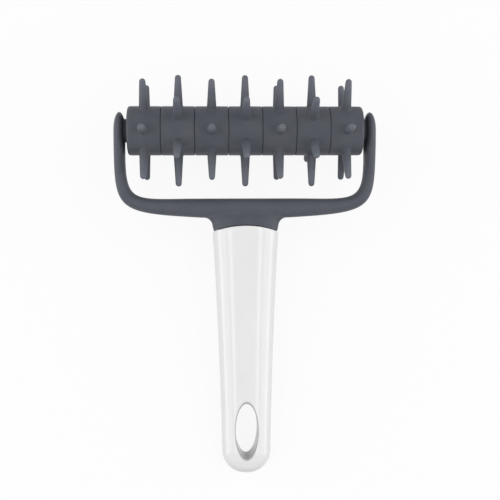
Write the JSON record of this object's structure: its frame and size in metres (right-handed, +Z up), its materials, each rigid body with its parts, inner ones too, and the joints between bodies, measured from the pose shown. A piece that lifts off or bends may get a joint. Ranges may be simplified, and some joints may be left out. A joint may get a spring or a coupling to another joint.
{
  "type": "dough docker",
  "caption": "Hand-held dough docker: a spiked roller of keyed rings turns in a flat fork, with a tapered handle that has an oval hanging hole.",
  "frame": {"origin": "middle of the docker's bounding box, on the surface that it lies on", "axes": "+X along the roller, +Y away from the handle, +Z up"},
  "size_m": [0.118, 0.1786, 0.0494],
  "materials": {
    "fork_plastic": "satin dark bluish grey",
    "ring_plastic": "satin dark bluish grey, fine bead texture",
    "shaft_plastic": "matt dark grey",
    "white_plastic": "gloss white"
  },
  "bodies": {
    "frame": {"fork": "fork_plastic", "handle": "white_plastic"},
    "roller": {"roller_shaft": "shaft_plastic", "spike_ring_1": "ring_plastic", "spike_ring_2": "ring_plastic", "spike_ring_3": "ring_plastic", "spike_ring_4": "ring_plastic", "spike_ring_5": "ring_plastic", "spike_ring_6": "ring_plastic", "spike_ring_7": "ring_plastic"}
  },
  "joints": [
    {"name": "roller_spin", "type": "hinge", "parent": "frame", "child": "roller", "pos_m": [0, 0.06456, 0.02471], "axis": [1, 0, 0], "continuous": true}
  ]
}
